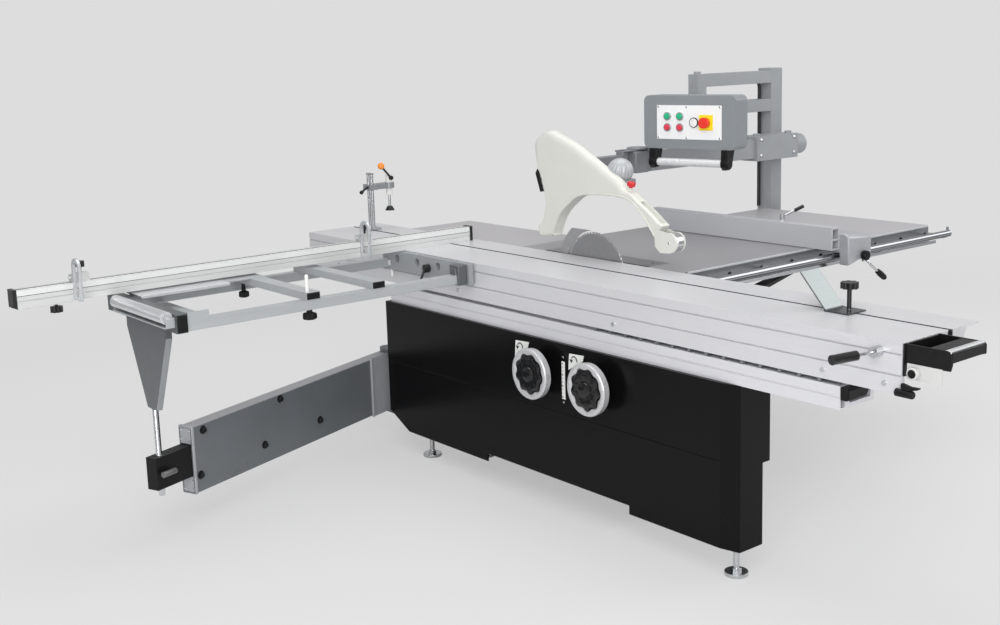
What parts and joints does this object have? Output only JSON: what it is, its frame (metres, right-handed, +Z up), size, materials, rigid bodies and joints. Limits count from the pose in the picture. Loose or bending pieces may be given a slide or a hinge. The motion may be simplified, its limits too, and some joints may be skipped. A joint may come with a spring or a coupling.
{
  "type": "sliding table saw",
  "caption": "Sliding table saw with a long travelling table beside the blade, a crosscut table on a swing arm, an overhead guard on a column and a rip fence on a round bar.",
  "frame": {"origin": "centre of the bounding box on the floor", "axes": "+X from the sliding table to the rip fence, +Y the feed direction, +Z up"},
  "size_m": [3.804, 3.35, 1.574],
  "materials": {
    "cabinet_black": "gloss black coat",
    "zinc_steel": "zinc plated",
    "rail_alu": "anodised extrusion",
    "table_cast": "ground cast iron",
    "insert_steel": "ground steel",
    "sheet_table": "coated sheet steel",
    "beam_black": "satin black coat",
    "rail_steel": "zinc plated steel",
    "chrome_bar": "hard chromed",
    "column_grey": "grey coat",
    "conduit_black": "ribbed conduit",
    "arm_grey": "dark grey coat",
    "plate_white": "white plate",
    "slider_alu": "anodised extrusion",
    "end_black": "moulded black",
    "push_steel": "steel rod with moulded grip",
    "shoe_steel": "chromed plate",
    "cross_silver": "silver coat",
    "lever_black": "moulded black",
    "fence_alu": "anodised extrusion",
    "stop_alu": "cast aluminium",
    "hold_steel": "plated steel",
    "plunger_white": "white sleeve",
    "lever_orange": "black lever with orange ball",
    "ext_black": "black coat",
    "unit_grey": "coated casting",
    "blade_steel": "ground blade steel",
    "wheel_silver": "polished rim with black hub",
    "carrier_alu": "cast aluminium",
    "rip_alu": "anodised extrusion",
    "rip_chrome": "chromed lever",
    "link_grey": "dark grey coat",
    "guard_white": "moulded off-white",
    "dome_grey": "moulded grey",
    "panel_grey": "grey box with white plate",
    "button_green": "green cap",
    "button_red": "red cap",
    "selector_white": "white knob"
  },
  "bodies": {
    "machine": {"base_frame": "cabinet_black", "saw_body": "cabinet_black", "feet": "zinc_steel", "base_rail": "rail_alu", "saw_table": "table_cast", "table_insert": "insert_steel", "outfeed_table": "sheet_table", "right_table": "sheet_table", "table_beams": "beam_black", "angle_rail": "rail_steel", "guide_bar": "chrome_bar", "column": "column_grey", "panel_arms": "column_grey", "conduit": "conduit_black", "guard_boom": "column_grey", "arm_bracket": "arm_grey", "wheel_plates": "plate_white", "trunnions": "beam_black"},
    "table_slide": {"slider": "slider_alu", "end_box": "end_black", "hold_posts": "hold_steel"},
    "cage": {"roller_cage": "rail_steel"},
    "push": {"push_handle": "push_steel"},
    "shoe": {"edge_shoe": "shoe_steel"},
    "crosscut": {"cross_frame": "cross_silver", "cross_clamp": "cross_silver", "cross_leg": "arm_grey"},
    "crosscut_roller": {"cross_roller": "chrome_bar"},
    "crosscut_lever": {"clamp_lever": "lever_black"},
    "fence": {"cross_fence": "fence_alu"},
    "flip_outer": {"stop_outer": "stop_alu"},
    "flip_inner": {"stop_inner": "stop_alu"},
    "hold_arm": {"hold_arm_part": "hold_steel"},
    "plunger": {"hold_plunger": "plunger_white"},
    "plunger_lever": {"hold_lever": "lever_orange"},
    "arm": {"swing_arm": "arm_grey"},
    "extension": {"arm_extension": "ext_black"},
    "tilting": {"tilt_frame": "beam_black"},
    "carriage": {"arbor_carriage": "unit_grey", "motor": "unit_grey", "riving_knife": "blade_steel"},
    "main_blade": {"saw_blade": "blade_steel"},
    "score_blade": {"scoring_blade": "blade_steel"},
    "wheel_raise": {"raise_wheel": "wheel_silver"},
    "wheel_tilt": {"tilt_wheel": "wheel_silver"},
    "carrier": {"rip_carrier": "carrier_alu"},
    "rip": {"rip_fence": "rip_alu"},
    "rip_lock": {"rip_lever": "rip_chrome"},
    "link": {"guard_link": "link_grey"},
    "hood": {"guard": "guard_white", "guard_port": "dome_grey"},
    "hood_roller": {"guard_roller": "chrome_bar"},
    "panel": {"control_panel": "panel_grey", "panel_link": "link_grey"},
    "button_a": {"start_main": "button_green"},
    "button_b": {"start_score": "button_green"},
    "button_c": {"stop_main": "button_red"},
    "button_d": {"stop_score": "button_red"},
    "switch": {"selector": "selector_white"},
    "emergency": {"e_stop": "button_red"}
  },
  "joints": [
    {"name": "table_travel", "type": "slide", "parent": "machine", "child": "table_slide", "axis": [0, 1, 0], "range_m": [-0.6, 0.9]},
    {"name": "cage_travel", "type": "slide", "parent": "machine", "child": "cage", "axis": [0, 1, 0], "range_m": [-0.3, 0.45]},
    {"name": "push_turn", "type": "hinge", "parent": "table_slide", "child": "push", "pos_m": [-0.278, -1.451, 0.8515], "axis": [1, 0, 0], "range_deg": [-30, 30]},
    {"name": "shoe_travel", "type": "slide", "parent": "table_slide", "child": "shoe", "axis": [0, 1, 0], "range_m": [-0.25, 0.9]},
    {"name": "crosscut_travel", "type": "slide", "parent": "table_slide", "child": "crosscut", "axis": [0, 1, 0], "range_m": [-0.2, 0.2]},
    {"name": "crosscut_roller_spin", "type": "hinge", "parent": "crosscut", "child": "crosscut_roller", "pos_m": [-1.548, 0.639, 0.862], "axis": [0, 1, 0], "continuous": true},
    {"name": "crosscut_lever_turn", "type": "hinge", "parent": "crosscut", "child": "crosscut_lever", "pos_m": [-0.308, 0.6795, 0.837], "axis": [1, 0, 0], "range_deg": [-60, 60]},
    {"name": "fence_swing", "type": "hinge", "parent": "table_slide", "child": "fence", "pos_m": [-0.04, 0.903, 0.885], "axis": [0, 0, 1], "range_deg": [-45, 30]},
    {"name": "flip_outer_turn", "type": "hinge", "parent": "fence", "child": "flip_outer", "pos_m": [-1.688, 0.903, 0.962], "axis": [1, 0, 0], "range_deg": [-100, 0]},
    {"name": "flip_inner_turn", "type": "hinge", "parent": "fence", "child": "flip_inner", "pos_m": [-0.498, 0.903, 0.962], "axis": [1, 0, 0], "range_deg": [-100, 0]},
    {"name": "hold_arm_height", "type": "slide", "parent": "table_slide", "child": "hold_arm", "axis": [0, 0, 1], "range_m": [-0.06, 0.03]},
    {"name": "plunger_press", "type": "slide", "parent": "hold_arm", "child": "plunger", "axis": [0, 0, 1], "range_m": [-0.01, 0.02]},
    {"name": "plunger_lever_turn", "type": "hinge", "parent": "plunger", "child": "plunger_lever", "pos_m": [0.064, 1.479, 1.123], "axis": [0, 1, 0], "range_deg": [-30, 60]},
    {"name": "arm_swing", "type": "hinge", "parent": "machine", "child": "arm", "pos_m": [-0.194, 1.181, 0.271], "axis": [0, 0, 1], "range_deg": [-33, 22]},
    {"name": "extension_travel", "type": "slide", "parent": "arm", "child": "extension", "axis": [-0.937, -0.3494, 0], "range_m": [-0.1, 0.25]},
    {"name": "blade_tilt", "type": "hinge", "parent": "machine", "child": "tilting", "pos_m": [0.118, 0.139, 0.885], "axis": [0, 1, 0], "range_deg": [0, 45]},
    {"name": "blade_raise", "type": "slide", "parent": "tilting", "child": "carriage", "axis": [0, 0, 1], "range_m": [-0.094, 0.004]},
    {"name": "blade_spin", "type": "hinge", "parent": "carriage", "child": "main_blade", "pos_m": [0.118, 0.139, 0.824], "axis": [1, 0, 0], "continuous": true},
    {"name": "score_spin", "type": "hinge", "parent": "carriage", "child": "score_blade", "pos_m": [0.118, -0.097, 0.824], "axis": [1, 0, 0], "continuous": true},
    {"name": "raise_turn", "type": "hinge", "parent": "machine", "child": "wheel_raise", "pos_m": [-0.294, -0.009, 0.53], "axis": [1, 0, 0], "range_deg": [-2170, 100]},
    {"name": "tilt_turn", "type": "hinge", "parent": "machine", "child": "wheel_tilt", "pos_m": [-0.294, -0.316, 0.53], "axis": [1, 0, 0], "range_deg": [-10, 2170]},
    {"name": "carrier_travel", "type": "slide", "parent": "machine", "child": "carrier", "axis": [1, 0, 0], "range_m": [-0.55, 0.66]},
    {"name": "rip_travel", "type": "slide", "parent": "carrier", "child": "rip", "axis": [0, 1, 0], "range_m": [-0.25, 0.06]},
    {"name": "rip_lock_turn", "type": "hinge", "parent": "rip", "child": "rip_lock", "pos_m": [0.867, -0.1866, 0.987], "axis": [0, 0, 1], "range_deg": [-60, 60]},
    {"name": "link_swing", "type": "hinge", "parent": "machine", "child": "link", "pos_m": [0.763, 0.543, 1.241], "axis": [0, 0, 1], "range_deg": [-20, 0]},
    {"name": "hood_tilt", "type": "hinge", "parent": "link", "child": "hood", "pos_m": [0.146, 0.0055, 1.1895], "axis": [1, 0, 0], "range_deg": [-5, 1]},
    {"name": "hood_roller_spin", "type": "hinge", "parent": "hood", "child": "hood_roller", "pos_m": [0.118, -0.287, 0.9915], "axis": [1, 0, 0], "continuous": true},
    {"name": "panel_swing", "type": "hinge", "parent": "machine", "child": "panel", "pos_m": [1.251, 0.631, 1.502], "axis": [0, 0, 1], "range_deg": [0, 25]},
    {"name": "press_a", "type": "slide", "parent": "panel", "child": "button_a", "axis": [0.9744, 0.225, 0], "range_m": [0, 0.0045], "stiffness_N_per_m": 400, "springref_m": -0.003},
    {"name": "press_b", "type": "slide", "parent": "panel", "child": "button_b", "axis": [0.9744, 0.225, 0], "range_m": [0, 0.0045], "stiffness_N_per_m": 400, "springref_m": -0.003},
    {"name": "press_c", "type": "slide", "parent": "panel", "child": "button_c", "axis": [0.9744, 0.225, 0], "range_m": [0, 0.0045], "stiffness_N_per_m": 400, "springref_m": -0.003},
    {"name": "press_d", "type": "slide", "parent": "panel", "child": "button_d", "axis": [0.9744, 0.225, 0], "range_m": [0, 0.0045], "stiffness_N_per_m": 400, "springref_m": -0.003},
    {"name": "press_stop", "type": "slide", "parent": "panel", "child": "emergency", "axis": [0.9744, 0.225, 0], "range_m": [0, 0.0045], "stiffness_N_per_m": 400, "springref_m": -0.003},
    {"name": "switch_turn", "type": "hinge", "parent": "panel", "child": "switch", "pos_m": [0.79585, 0.23367, 1.375], "axis": [0.9744, 0.225, 0], "range_deg": [-45, 45]}
  ],
  "couplings": [
    {"joint": "cage_travel", "follows": "table_travel", "ratio": 0.5},
    {"joint": "arm_swing", "follows": "table_travel", "rad_per_m": -0.628},
    {"joint": "raise_turn", "follows": "blade_raise", "rad_per_m": 400},
    {"joint": "tilt_turn", "follows": "blade_tilt", "ratio": 48}
  ]
}
